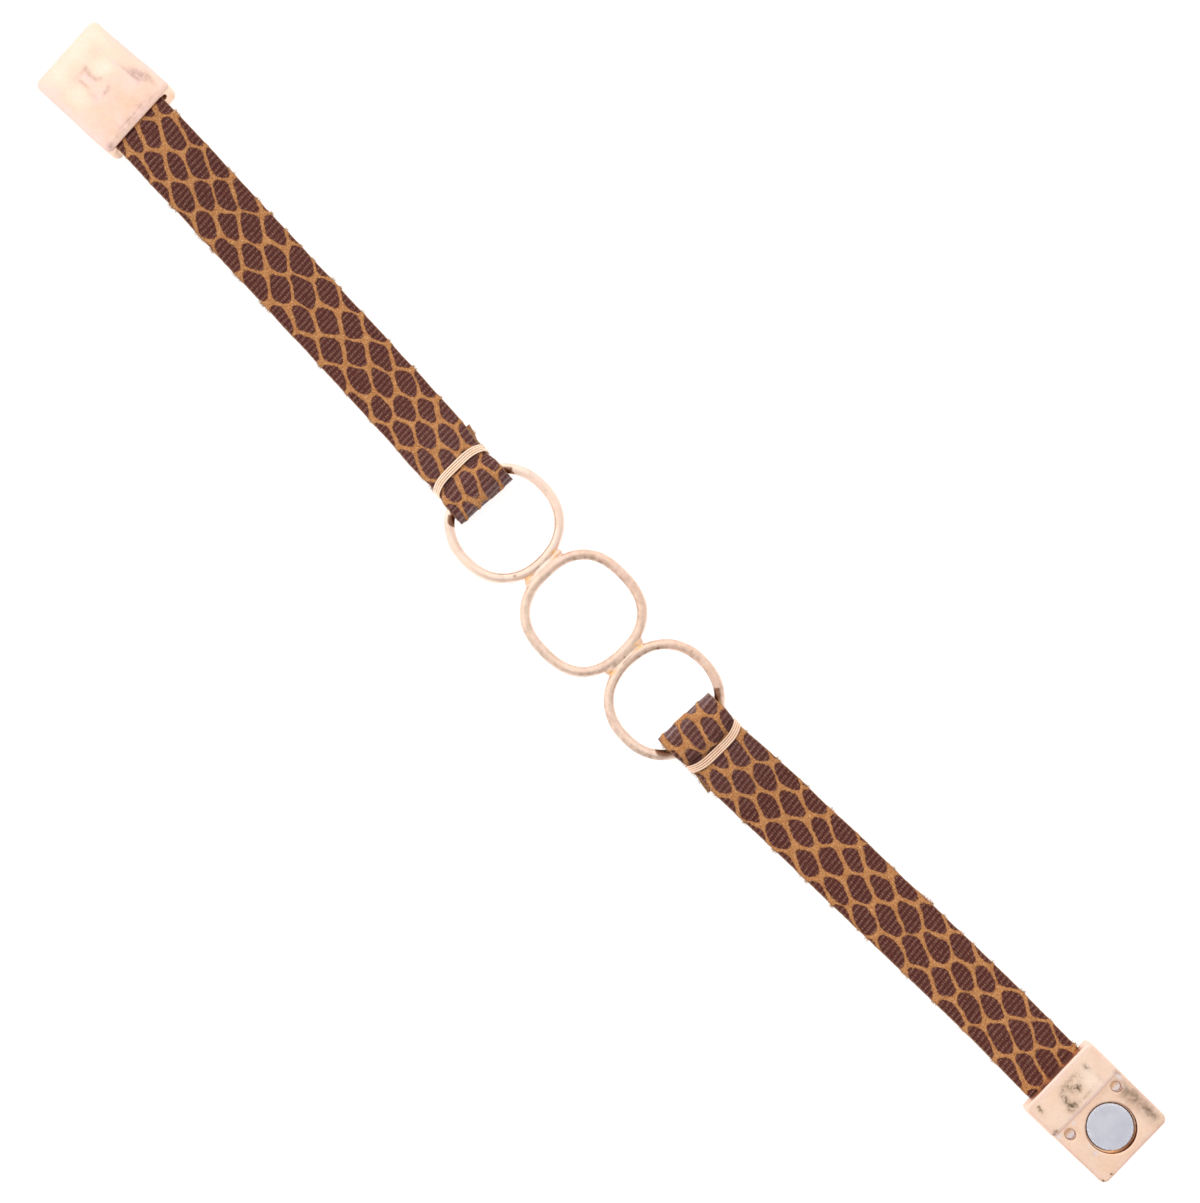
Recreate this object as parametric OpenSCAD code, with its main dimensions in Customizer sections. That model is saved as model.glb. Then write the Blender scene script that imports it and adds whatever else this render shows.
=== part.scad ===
// Magnetic bracelet laid open: two leather straps, three soldered rings and a two-part clasp.
// Millimetres. The bracelet lies along X with its rings in the middle, on the surface z = 0.
// The outer clasp half is at -X with its magnet facing down, the inner half at +X facing up.

/* [Clasp halves] */
// Width of a clasp half across the strap
clasp_w = 12; // [11:0.1:13]
// Length of the full-height socket that holds the strap
socket_l = 5.5; // [5:0.1:6]
// Height of the socket, which is two tongues thick
socket_t = 4; // [3.6:0.1:4.4]
// Length of the half-height tongue that holds the magnet
tongue_l = 8.9; // [8.4:0.1:9.4]
// Width that the tongue loses towards its free end
tongue_taper = 0.25; // [0:0.05:0.5]
// Radius of a half's corners, seen from above
corner_r = 0.7; // [0.4:0.1:1]
// Radius of the edges of a half's faces
edge_r = 0.4; // [0.2:0.05:0.5]
// Width of the slot that the strap is glued into
slot_w = 9.9; // [9.5:0.1:10.2]
// Height of the slot
slot_t = 1.2; // [1.1:0.05:1.3]
// Depth of the slot
slot_deep = 4.6; // [4.2:0.1:5]
// Thickness of the outer plate, between the slot and the outside
outer_wall = 0.6; // [0.5:0.05:0.8]
// How far the outer plate's edge at the slot stands back from the mating side's
lip_back = 0.35; // [0:0.05:0.5]

/* [Locating pegs] */
// Diameter of a peg under the outer half's tongue
peg_d = 1.0; // [0.8:0.05:1.1]
// Height of a peg
peg_h = 1.4; // [1:0.1:1.5]
// Distance between the two pegs
peg_pitch = 8.5; // [8:0.1:8.8]
// Distance from the pegs to the end that meets the other half's step
peg_inset = 1.35; // [1.2:0.05:1.6]
// Diameter of a peg hole in the inner half
peg_hole_d = 1.3; // [1.2:0.05:1.4]
// Depth of a peg hole
peg_hole_deep = 1.5; // [1.5:0.05:1.6]

/* [Magnets] */
// Diameter of a disc magnet
magnet_d = 6; // [5:0.1:6.2]
// Thickness of a disc magnet
magnet_t = 1.2; // [1:0.1:1.3]
// Diameter of the pocket that a magnet is glued into
pocket_d = 6.7; // [6.5:0.05:6.8]
// Depth of the pocket
pocket_deep = 1.35; // [1.35:0.05:1.5]
// How far the inner magnet sits from the middle of its pocket, towards the strap
magnet_aside = 0.17; // [0:0.01:0.25]

/* [Straps] */
// Width of a strap where it lies free
strap_w = 9; // [8.5:0.1:9.2]
// Thickness of the leather
strap_t = 1; // [0.8:0.05:1]
// Width that a strap loses where the wire pulls it in
pinch = 0.5; // [0:0.1:0.6]

/* [Rings] */
// Diameter of the wire that the rings are bent from
ring_wire_d = 1.35; // [1.2:0.05:1.35]
// Thickness of the solder between two rings
solder_t = 1.15; // [0.8:0.05:1.2]
// Length of a soldered joint
solder_l = 6.4; // [5.5:0.1:7]

/* [Wire bindings] */
// Diameter of the fine binding wire
binding_wire_d = 0.28; // [0.25:0.01:0.33]
// Turns of wire in a binding
binding_turns = 4; // [2:1:4]
// Distance from one turn to the next
binding_pitch = 0.295; // [0.295:0.005:0.36]
// How far the middle of a binding stands away from its ring
binding_bow = 0.9; // [0:0.05:1]

/* [How it lies] */
// Turn of the outer clasp half, seen from above
outer_turn = 3.9; // [-5:0.1:5]
// Lift of the outer half's strap end, as it rests on its pegs
outer_lift = 4; // [0:0.1:5]
// Turn of the inner clasp half, seen from above
inner_turn = 1.8; // [-3:0.1:3]
// Lift of the inner half's free end, as the stiff strap tips it
inner_lift = 2; // [0:0.1:2.5]

/* [Hidden] */
gap = 0.05;
gold = [0.93, 0.78, 0.66];
nickel = [0.78, 0.80, 0.86];
leather = [0.36, 0.20, 0.16];
tongue_t = socket_t / 2;
slot_mid = outer_wall + slot_t / 2;
pocket_x = socket_l + tongue_l / 2;

// The outer half rests on the foot of its step and on its pegs, the inner half on its strap end.
outer_foot = [-91.3, 2.54];
inner_foot = [86.24, 1.25];

// Heights of the stack in a loop, from the surface up.
under_wire = 0.36;
tail_z = under_wire + strap_t / 2;
ring_z = under_wire + strap_t + gap + ring_wire_d / 2;
over_z = ring_z + ring_wire_d / 2 + 2 * gap + strap_t / 2;
cinch_z = tail_z + strap_t + 0.14;
fold_r = (over_z - tail_z) / 2;
flat_z = strap_t / 2;

// Columns of a strap's table, where turn is the heading seen from above.
// x, y, z of the middle of the leather, turn, width lost, bow of the section at its edges
outer_top = [
    [-90.1, 2.66, 2.90, -1.3, 0, 0],
    [-86.1, 2.57, 3.18, -1.2, 0, 0],
    [-82.0, 2.50, 3.20, -1.2, 0, 0],
    [-77.0, 2.42, 2.62, -1.3, 0, 0],
    [-70.0, 2.25, 1.46, -1.4, 0, 0],
    [-62.0, 2.04, 0.68, -1.5, 0, 0],
    [-54.0, 1.83, flat_z, -1.6, 0, 0],
    [-45.5, 1.60, flat_z, -1.7, 0, 0],
    [-37.5, 1.37, flat_z + 0.06, -2.0, 0, 0],
    [-32.0, 1.16, 1.16, -2.4, 0, 0],
    [-28.0, 0.95, 1.84, -2.8, 0.2, 0.3],
    [-25.3, 0.79, cinch_z - 0.03, -2.9, 1, 0.7],
    [-23.25, 0.68, cinch_z + 0.02, -2.9, 1, 0.9],
    [-22.75, 0.64, cinch_z + 0.38, -2.9, 0.5, 1.2],
    [-22.2, 0.61, over_z - 0.32, -2.9, 0.1, 1.4],
    [-21.4, 0.56, over_z + 0.02, -2.9, 0, 1.3],
    [-20.6, 0.51, over_z, -2.9, 0, 0.9]
];
inner_top = [
    [90.1, 1.37, slot_mid + 0.13, 1.8, 0, 0],
    [86.1, 1.25, slot_mid - 0.01, 1.5, 0, 0],
    [83.0, 1.19, 1.05, 1.0, 0, 0],
    [79.0, 1.17, 0.74, 1.2, 0, 0],
    [74.5, 1.11, 0.53, 1.4, 0, 0],
    [68.0, 0.96, flat_z, 1.9, 0, 0],
    [60.0, 0.68, flat_z, 2.1, 0, 0],
    [52.0, 0.38, flat_z, 2.3, 0, 0],
    [44.5, 0.10, flat_z, 2.3, 0, 0],
    [38.8, -0.12, flat_z + 0.08, 2.4, 0, 0],
    [34.0, -0.33, 1.12, 2.4, 0, 0],
    [30.1, -0.53, 1.80, 1.9, 0.2, 0.3],
    [27.5, -0.65, cinch_z - 0.03, 0.9, 1, 0.7],
    [25.75, -0.71, cinch_z + 0.02, 0, 1, 0.9],
    [25.4, -0.73, cinch_z + 0.40, -0.4, 0.6, 1.0],
    [24.9, -0.75, over_z - 0.29, -0.8, 0.3, 1.1],
    [24.1, -0.77, over_z + 0.03, -1.2, 0, 1.0],
    [23.2, -0.78, over_z, -1.4, 0, 0.7]
];
// x, y, turn of the middle of each fold, then of its tail's end with the tail's sideways curve
outer_fold = [-19.51, 0.44, -2.9];
outer_tail = [-27.4, 1.52, -4.4, 0.5];
inner_fold = [21.83, -0.80, -1.7];
inner_tail = [29.7, -1.12, -0.6, 0.4];
fold_steps = 6;
tail_steps = 6;

// x, y, half length, half width and squareness of each ring's wire, squareness 2 being an ellipse
rings = [
    [-14.23, 0.06, 6.98, 7.05, 2.2],
    [1.48, -0.74, 7.22, 7.20, 2.45],
    [16.92, -1.08, 6.90, 7.10, 2.2]
];
ring_steps = 44;
ring_sides = 12;
solder_steps = 5;

// x, y of each binding's middle, and the direction of its ring
outer_bind = [-24.05, 0.72, 1];
inner_bind = [26.55, -0.72, -1];
bind_sides = 6;

function unit(v) = v / norm(v);
function level(h) = [cos(h), sin(h), 0];
function across(h) = [-sin(h), cos(h), 0];

// Smooth curve through four rows of a table, at t from the second row to the third
function spline(a, b, c, d, t) =
    b + t * (c - a + t * (2 * a - 5 * b + 4 * c - d + t * (3 * (b - c) + d - a))) / 2;
function smooth(rows, steps) = let (last = len(rows) - 1) [
    for (i = [0 : last - 1], j = [0 : steps - 1])
        spline(rows[max(i - 1, 0)], rows[i], rows[i + 1], rows[min(i + 2, last)], j / steps),
    rows[last]
];

// Rows of the half round fold, then of the tail that lies under the ring's wire
function fold_rows(fold, side) = [
    for (i = [0 : fold_steps]) let (a = 90 - 180 * i / fold_steps)
        [fold[0] + side * fold_r * cos(a), fold[1], ring_z + fold_r * sin(a), fold[2], 0, 0]
];
function tail_rows(fold, tail) = [
    for (i = [1 : tail_steps]) let (
        s = i / tail_steps,
        swing = pow(s, 3),
        pull = s > 0.3 && s < 0.8 ? 1 : 0.3
    ) [
        fold[0] + s * (tail[0] - fold[0]),
        fold[1] + swing * (tail[1] - fold[1]) + s * (1 - s) * tail[3],
        tail_z, fold[2] + swing * (tail[2] - fold[2]), pull, 0
    ]
];

// One section of a strap: rounded edges, and bowed towards the ring where the wire pulls it in
function section(row, before, after, side) = let (
    w = (strap_w - pinch * row[4]) / 2,
    t = strap_t / 2,
    c = 0.18,
    middle = [row[0], row[1], max(row[2], flat_z)],
    width_way = side * across(row[3]),
    ahead = unit([after[0] - before[0], after[1] - before[1], after[2] - before[2]]),
    face_way = unit(cross(ahead, width_way)),
    face = [[-w, t - c], [c - w, t], [-w / 2, t], [0, t], [w / 2, t], [w - c, t], [w, t - c]],
    back = [for (i = [6 : -1 : 0]) [face[i][0], -face[i][1]]]
) [
    for (p = concat(face, back))
        middle + p[0] * width_way + p[1] * face_way
            + side * row[5] * pow(p[0] / w, 2) * level(row[3])
];
function strap_sections(rows, side) = let (last = len(rows) - 1) [
    for (i = [0 : last]) section(rows[i], rows[max(i - 1, 0)], rows[min(i + 1, last)], side)
];

// Skin over a row of closed sections that all have the same number of points
module skin(sections) {
    n = len(sections[0]);
    last = len(sections) - 1;
    points = [for (s = sections, p = s) p];
    walls = [
        for (i = [0 : last - 1], j = [0 : n - 1]) let (k = (j + 1) % n)
            each [
                [i * n + j, i * n + k, (i + 1) * n + k],
                [i * n + j, (i + 1) * n + k, (i + 1) * n + j]
            ]
    ];
    first_end = [for (j = [n - 1 : -1 : 0]) j];
    last_end = [for (j = [0 : n - 1]) last * n + j];
    polyhedron(points, concat(walls, [first_end], [last_end]));
}

module strap(top, fold, tail, side) {
    smoothed = smooth(top, 2);
    rows = concat(smoothed, fold_rows(fold, side), tail_rows(fold, tail));
    skin(strap_sections(rows, side));
}

module outer_strap() {
    color(leather) strap(outer_top, outer_fold, outer_tail, 1);
}

module inner_strap() {
    color(leather) strap(inner_top, inner_fold, inner_tail, -1);
}

// Oblong from the origin with round corners
module oblong(l, w, r) {
    translate([r, 0]) square([l - 2 * r, w]);
    translate([0, r]) square([l, w - 2 * r]);
    for (x = [r, l - r], y = [r, w - r]) translate([x, y]) circle(r, $fn = 48);
}

// Block along +X from x = 0, with corners rounded as seen from above and rounded edges
module block(l, w, t) {
    intersection() {
        translate([0, -w / 2, -1]) linear_extrude(t + 2) oblong(l, w, corner_r);
        translate([0, w, 0]) rotate([90, 0, 0]) linear_extrude(2 * w) oblong(l, t, edge_r);
        translate([-1, -w / 2, 0]) rotate([90, 0, 90]) linear_extrude(l + 2) oblong(w, t, edge_r);
    }
}

// One clasp half with its outer plate down, its slot at x = 0 and its tongue towards +X
module clasp_half() {
    l = socket_l + tongue_l;
    w_end = clasp_w - tongue_taper;
    difference() {
        intersection() {
            block(l, clasp_w, socket_t);
            linear_extrude(socket_t) polygon([
                [-1, -clasp_w], [socket_l, -clasp_w], [socket_l, -clasp_w / 2], [l + 1, -w_end / 2],
                [l + 1, w_end / 2], [socket_l, clasp_w / 2], [socket_l, clasp_w], [-1, clasp_w]
            ]);
        }
        translate([socket_l, -clasp_w, tongue_t]) cube([l, 2 * clasp_w, socket_t]);
        translate([-1, -slot_w / 2, outer_wall]) cube([slot_deep + 1, slot_w, slot_t]);
        translate([-1, -clasp_w, -1]) cube([lip_back + 1, 2 * clasp_w, slot_mid + 1]);
        translate([pocket_x, 0, tongue_t - pocket_deep]) cylinder(h = socket_t, d = pocket_d, $fn = 64);
    }
}

module clasp_magnet(aside) {
    translate([pocket_x - aside, 0, tongue_t - gap - magnet_t]) cylinder(h = magnet_t, d = magnet_d, $fn = 64);
}

// Tipped about the foot of its strap end
module place_inner() {
    translate([inner_foot[0], inner_foot[1], 0]) rotate([0, -inner_lift, inner_turn]) children();
}

// Turned over, so that its outer plate is on top, then tipped about the foot of its step
module place_outer() {
    translate([outer_foot[0], outer_foot[1], 0]) rotate([0, -outer_lift, outer_turn])
        translate([socket_l, 0, socket_t]) rotate([0, 180, 0]) children();
}

module inner_clasp() {
    color(gold) place_inner() difference() {
        clasp_half();
        for (y = [-1, 1])
            translate([socket_l + peg_inset, y * peg_pitch / 2, tongue_t - peg_hole_deep])
                cylinder(h = socket_t, d = peg_hole_d, $fn = 32);
    }
}

module outer_clasp() {
    color(gold) place_outer() union() {
        clasp_half();
        for (y = [-1, 1])
            translate([socket_l + tongue_l - peg_inset, y * peg_pitch / 2, tongue_t - 0.5])
                cylinder(h = peg_h + 0.5, d = peg_d, $fn = 32);
    }
}

module inner_magnet() {
    color(nickel) place_inner() clasp_magnet(magnet_aside);
}

module outer_magnet() {
    color(nickel) place_outer() clasp_magnet(0);
}

// Radius of a ring's wire at angle a, and the x of that wire at height y on side s
function ring_radius(ring, a) = let (n = ring[4])
    pow(pow(abs(cos(a)) / ring[2], n) + pow(abs(sin(a)) / ring[3], n), -1 / n);
function ring_x(ring, y, s) = let (n = ring[4])
    ring[0] + s * ring[2] * pow(1 - pow(abs(y - ring[1]) / ring[3], n), 1 / n);

module ring(r) {
    sides = ring_sides;
    points = [
        for (i = [0 : ring_steps - 1], j = [0 : sides - 1]) let (
            a = 360 * i / ring_steps,
            b = 360 * j / sides,
            reach = ring_radius(r, a) + ring_wire_d / 2 * cos(b)
        ) [r[0] + reach * cos(a), r[1] + reach * sin(a), ring_z + ring_wire_d / 2 * sin(b)]
    ];
    faces = [
        for (i = [0 : ring_steps - 1], j = [0 : sides - 1]) let (
            m = (i + 1) % ring_steps,
            k = (j + 1) % sides
        )
            each [
                [i * sides + j, i * sides + k, m * sides + k],
                [i * sides + j, m * sides + k, m * sides + j]
            ]
    ];
    polyhedron(points, faces);
}

// Solder that fills the narrow place between two rings, a short bar at a time
module solder(left, right) {
    middle = (left[1] + right[1]) / 2;
    for (i = [0 : solder_steps - 1]) hull() for (e = [i, i + 1]) {
        y = middle + solder_l * (e / solder_steps - 0.5);
        x0 = ring_x(left, y, 1);
        x1 = ring_x(right, y, -1);
        translate([x0, y, ring_z]) rotate([0, 90, 0]) cylinder(h = x1 - x0, d = solder_t, $fn = 12);
    }
}

module ring_trio() {
    color(gold) union() {
        for (r = rings) ring(r);
        for (i = [0, 1]) solder(rings[i], rings[i + 1]);
    }
}

// Route of the wire round both layers of leather, once, as [y, z] from the middle of the strap
bind_r = binding_wire_d / 2;
bind_half = (strap_w - pinch) / 2 + 0.09;
bind_low = bind_r + 0.01;
bind_high = cinch_z + strap_t / 2 + bind_r + 0.12;
bind_corner = bind_r + 0.2;
bind_route = let (
    y = bind_half + bind_r + 0.02 - bind_corner,
    reach = bind_corner,
    low = bind_low + reach,
    high = bind_high - reach
) concat(
    [for (s = [-1, -0.5, 0, 0.5, 1]) [s * y, bind_high]],
    [for (a = [60, 30, 0]) [y + reach * cos(a), high + reach * sin(a)]],
    [for (a = [0, -30, -60]) [y + reach * cos(a), low + reach * sin(a)]],
    [for (s = [1, 0.5, 0, -0.5, -1]) [s * y, bind_low]],
    [for (a = [60, 30, 0]) [-y - reach * cos(a), low - reach * sin(a)]],
    [for (a = [0, -30, -60]) [-y - reach * cos(a), high - reach * sin(a)]]
);

module binding(at) {
    n = len(bind_route);
    total = n * binding_turns;
    path = [
        for (i = [0 : total - 1]) let (p = bind_route[(i + n / 2) % n])
            [
                at[0] + (i / n - binding_turns / 2) * binding_pitch
                    + at[2] * binding_bow * pow(p[0] / bind_half, 4),
                at[1] + p[0],
                p[1]
            ]
    ];
    skin([
        for (i = [0 : total - 1]) let (
            ahead = unit(path[min(i + 1, total - 1)] - path[max(i - 1, 0)]),
            out = unit(cross(ahead, [1, 0, 0])),
            side = cross(ahead, out)
        )
            [for (j = [0 : bind_sides - 1]) let (a = 360 * j / bind_sides)
                path[i] + bind_r * (cos(a) * out + sin(a) * side)]
    ]);
}

module outer_binding() {
    color(gold) binding(outer_bind);
}

module inner_binding() {
    color(gold) binding(inner_bind);
}

outer_clasp();
outer_magnet();
inner_clasp();
inner_magnet();
outer_strap();
inner_strap();
outer_binding();
inner_binding();
ring_trio();
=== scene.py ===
import math

import bpy
import numpy as np
from mathutils import Matrix, Vector


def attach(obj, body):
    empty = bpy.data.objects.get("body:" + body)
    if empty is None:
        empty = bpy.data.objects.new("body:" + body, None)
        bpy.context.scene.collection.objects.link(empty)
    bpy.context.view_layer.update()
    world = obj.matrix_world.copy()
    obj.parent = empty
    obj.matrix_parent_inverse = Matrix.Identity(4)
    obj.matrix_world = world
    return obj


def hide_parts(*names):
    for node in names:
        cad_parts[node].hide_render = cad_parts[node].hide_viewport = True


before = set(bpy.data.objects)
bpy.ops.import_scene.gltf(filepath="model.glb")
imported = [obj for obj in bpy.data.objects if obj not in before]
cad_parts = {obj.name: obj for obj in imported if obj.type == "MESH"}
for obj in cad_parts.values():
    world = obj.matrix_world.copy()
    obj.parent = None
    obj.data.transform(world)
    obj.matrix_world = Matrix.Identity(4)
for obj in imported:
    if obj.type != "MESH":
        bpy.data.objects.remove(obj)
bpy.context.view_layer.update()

# ---------------------------------------------------------------- clasp halves
# Two matching zinc castings under rose gold plate. Each has a socket, whose slot takes the end
# of a strap, and a half-height tongue with a round pocket for a magnet. The outer half shows its
# hammered face and stands on two locating pegs, and the inner half shows its mating side.

CLASP_W, CLASP_TAPER, SOCKET_L, SOCKET_T, TONGUE_L = 12.04, 0.014, 5.5, 4.0, 8.9
TONGUE_T = SOCKET_T / 2
CLASP_L = SOCKET_L + TONGUE_L
PLAN_CORNER, SOCKET_EDGE, TONGUE_EDGE, STEP_ROUND, STEP_FILLET = 0.95, 0.45, 0.34, 0.6, 0.2
SLOT_LOW, SLOT_HIGH, SLOT_DEEP, SLOT_HALF, SLOT_CORNER = 0.6, 1.8, 4.6, 4.76, 0.5
MAGNET_R, MAGNET_ASIDE = 3.0, -0.17
POCKET_X, POCKET_R, POCKET_FLOOR, GLUE_HIGH = SOCKET_L + TONGUE_L / 2, 3.3, 0.65, 1.55
PEG_Y, PEG_INSET, PEG_R, PEG_HIGH, HOLE_R, HOLE_FLOOR = 4.25, 1.35, 0.5, 1.4, 0.68, 0.7
HOLE_X = SOCKET_L + PEG_INSET
LIP_BACK, LIP_L, LIP_DROP = 0.2, 1.0, 0.3
CAST_LOW, CAST_HIGH, CAST_STEP = (-0.4, -6.4, -0.4), (14.8, 6.4, 4.4), 0.1
# x, y, radius of pits in the inner half's mating side
casting_pits = [(1.3, -4.5, 0.16), (1.8, -4.7, 0.13), (14.0, -4.3, 0.15)]


def unit(value):
    """Held between 0 and 1."""
    return np.clip(value, 0, 1)


def blend_min(a, b, soft):
    h = unit(0.5 + 0.5 * (b - a) / soft)
    return b + (a - b) * h - soft * h * (1 - h)


def blend_max(a, b, soft):
    return -blend_min(-a, -b, soft)


def swell(x, y, across, seed):
    """Smooth uneven height between about -1 and 1, whose swells are about `across` wide."""
    rng = np.random.default_rng(seed)
    total = np.zeros_like(x)
    for turn in rng.uniform(0, 2 * math.pi, 7):
        pitch = 2 * math.pi / (across * rng.uniform(1.3, 2.9))
        total = total + np.sin(pitch * (x * math.cos(turn) + y * math.sin(turn)) + rng.uniform(0, 6.3))
    return total / 3.2


def ramp(value, start, end):
    """0 before start, 1 after end, and even between."""
    return unit((value - start) / (end - start))


def spot(x, y, at, size):
    """One soft round or oval place, 1 in its middle."""
    return np.exp(-(((x - at[0]) / size[0]) ** 2) - ((y - at[1]) / size[1]) ** 2)


def places(x, y, rows):
    """Sum of soft oval places, each given as its middle, its half sizes and its strength."""
    return sum(amount * spot(x, y, (px, py), (rx, ry)) for px, py, rx, ry, amount in rows)


def far(x, y, z, at, size=(1, 1, 1)):
    """Distance from a point, counted in the sizes given for the three directions."""
    return np.sqrt(sum(((v - a) / s) ** 2 for v, a, s in zip((x, y, z), at, size)))


def skin_of(field, low, high, step):
    """Even quads over the surface where field(x, y, z) is 0, in millimetres."""
    axes = [np.arange(a, b + step, step) for a, b in zip(low, high)]
    v = field(*np.meshgrid(*axes, indexing="ij"))
    cells, one = tuple(n - 1 for n in v.shape), np.eye(3, dtype=int)
    total, count = np.zeros(cells + (3,)), np.zeros(cells)

    def corner(at):
        return v[tuple(slice(d, d + n) for d, n in zip(at, cells))]

    # A cell's point is the mean of where the surface cuts its twelve edges
    for axis, p, q in np.ndindex(3, 2, 2):
        start = np.insert([p, q], axis, 0)
        a, b = corner(start), corner(start + one[axis])
        cut = (a < 0) != (b < 0)
        part = np.where(cut, a / np.where(cut, a - b, 1), 0)
        total += cut[..., None] * start + part[..., None] * one[axis]
        count += cut
    used = count > 0
    number = np.full(cells, -1)
    number[used] = np.arange(used.sum())
    points = (np.argwhere(used) + total[used] / count[used][:, None]) * step + np.array(low)
    # Each grid edge that the surface cuts gets a quad between the four cells round it
    faces = []
    for axis in range(3):
        b, c = [k for k in range(3) if k != axis]
        here = v[tuple(slice(None) if k == axis else slice(1, -1) for k in range(3))]
        lead, tail = np.delete(here, -1, axis), np.delete(here, 0, axis)
        for wanted, order in ((lead < 0) & (tail >= 0), 1), ((lead >= 0) & (tail < 0), -1):
            base = np.argwhere(wanted)
            around = ((0, 0), (1, 0), (1, 1), (0, 1))[:: -order if axis == 1 else order]
            ring = [number[tuple((base + p * one[b] + q * one[c]).T)] for p, q in around]
            faces += np.stack(ring, 1).tolist()
    # The points are drawn onto the surface itself
    for _ in range(3):
        e = step * 0.25
        d = field(*points.T)
        slope = [(field(*(points + k).T) - field(*(points - k).T)) / (2 * e) for k in one * e]
        slope = np.stack(slope, 1)
        move = -d[:, None] * slope / np.maximum((slope**2).sum(1), 0.2)[:, None]
        points += np.clip(move, -step / 2, step / 2)
    return points, faces


def piece(name, points, faces, material, node, slot, place=Matrix(), **values):
    """A smooth mesh from points in millimetres, standing for a CAD node, with values at its points."""
    mesh = bpy.data.meshes.new(name)
    mesh.from_pydata((np.asarray(points) / 1000).tolist(), [], faces)
    mesh.polygons.foreach_set("use_smooth", [True] * len(mesh.polygons))
    for key, value in values.items():
        layer = mesh.attributes.new(key, "FLOAT", "POINT")
        layer.data.foreach_set("value", np.asarray(value, dtype=np.float32))
    mesh.transform(place)
    mesh.materials.append(material)
    thing = bpy.data.objects.new(name, mesh)
    bpy.context.collection.objects.link(thing)
    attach(thing, "root")
    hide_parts(node)
    return thing


def rounded(a, b, radius):
    """Distance to a solid's rounded edge, from the distances to the two sides that meet there."""
    a, b = a + radius, b + radius
    return np.hypot(np.maximum(a, 0), np.maximum(b, 0)) + np.minimum(np.maximum(a, b), 0) - radius


def plate_of(x, y, z, half_w, thick, edge):
    """Distance to a plate lying flat, with rounded corners seen from above and rounded edges."""
    plan = rounded(np.abs(x - CLASP_L / 2) - CLASP_L / 2, np.abs(y) - half_w, PLAN_CORNER)
    return rounded(plan, np.abs(z - thick / 2) - thick / 2, edge)


def clasp_body(x, y, z, pegs, relief):
    """Distance to one half, lying with its mating side up and its slot's mouth at x = 0."""
    half_w = CLASP_W / 2 - CLASP_TAPER * np.maximum(x - SOCKET_L, 0)
    tongue = plate_of(x, y, z, half_w, TONGUE_T, TONGUE_EDGE)
    socket = blend_max(plate_of(x, y, z, half_w, SOCKET_T, SOCKET_EDGE), x - SOCKET_L, STEP_ROUND)
    body = blend_min(socket, tongue, STEP_FILLET)
    # The outside plate stands back at the slot and curves down to its lip
    body = blend_max(body, LIP_BACK * ramp(z, 1.55, 1.05) - x, 0.16)
    lip = LIP_DROP * ramp(x, LIP_BACK + LIP_L, LIP_BACK) ** 2
    body = blend_max(body, lip - z, 0.12)
    # The outside is hammered or worn, and the rest is uneven as cast
    outside, mating = ramp(z, 0.5, 0), ramp(z, TONGUE_T - 0.4, TONGUE_T)
    body += outside * relief(x, y)
    body += mating * (0.02 + 0.02 * swell(x, y, 3.5, 21) + 0.006 * swell(x, y, 1.1, 22))
    body -= 0.014 * swell(x + 2 * z, y - z, 2.6, 31) * (1 - outside) * (1 - mating)
    slot_z, slot_rise = (SLOT_HIGH + SLOT_LOW) / 2, (SLOT_HIGH - SLOT_LOW) / 2
    slot = rounded(np.abs(y) - SLOT_HALF, np.abs(z - slot_z) - slot_rise, SLOT_CORNER)
    body = blend_max(body, -np.maximum(slot, x - SLOT_DEEP), 0.1)
    # Glue has risen round the magnet, most on the side where the gap is narrow
    glue = ramp(np.hypot(x - POCKET_X - MAGNET_ASIDE, y), MAGNET_R, MAGNET_R + 0.08)
    glue = glue * np.clip(1 - 0.5 * (x - POCKET_X) / POCKET_R, 0.5, 1.4)
    floor = POCKET_FLOOR + (GLUE_HIGH - POCKET_FLOOR) * glue
    body = blend_max(body, -np.maximum(np.hypot(x - POCKET_X, y) - POCKET_R, floor - z), 0.16)
    if pegs:
        # A peg's foot is sunk half a millimetre into the tongue
        peg = np.hypot(x - (CLASP_L - PEG_INSET), np.abs(y) - PEG_Y) - PEG_R
        peg = blend_max(peg, np.abs(z - TONGUE_T - (PEG_HIGH - 0.5) / 2) - (PEG_HIGH + 0.5) / 2, 0.2)
        return blend_min(body, peg, 0.15)
    hole = np.hypot(x - HOLE_X, np.abs(y) - PEG_Y) - HOLE_R - 0.03 * swell(x, y, 1.0, 25)
    body = blend_max(body, -np.maximum(hole, HOLE_FLOOR - z), 0.26)
    for px, py, size in casting_pits:
        top = SOCKET_T if px < SOCKET_L else TONGUE_T
        body = blend_max(body, size - far(x, y, z, (px, py, top)), 0.06)
    return body


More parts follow.
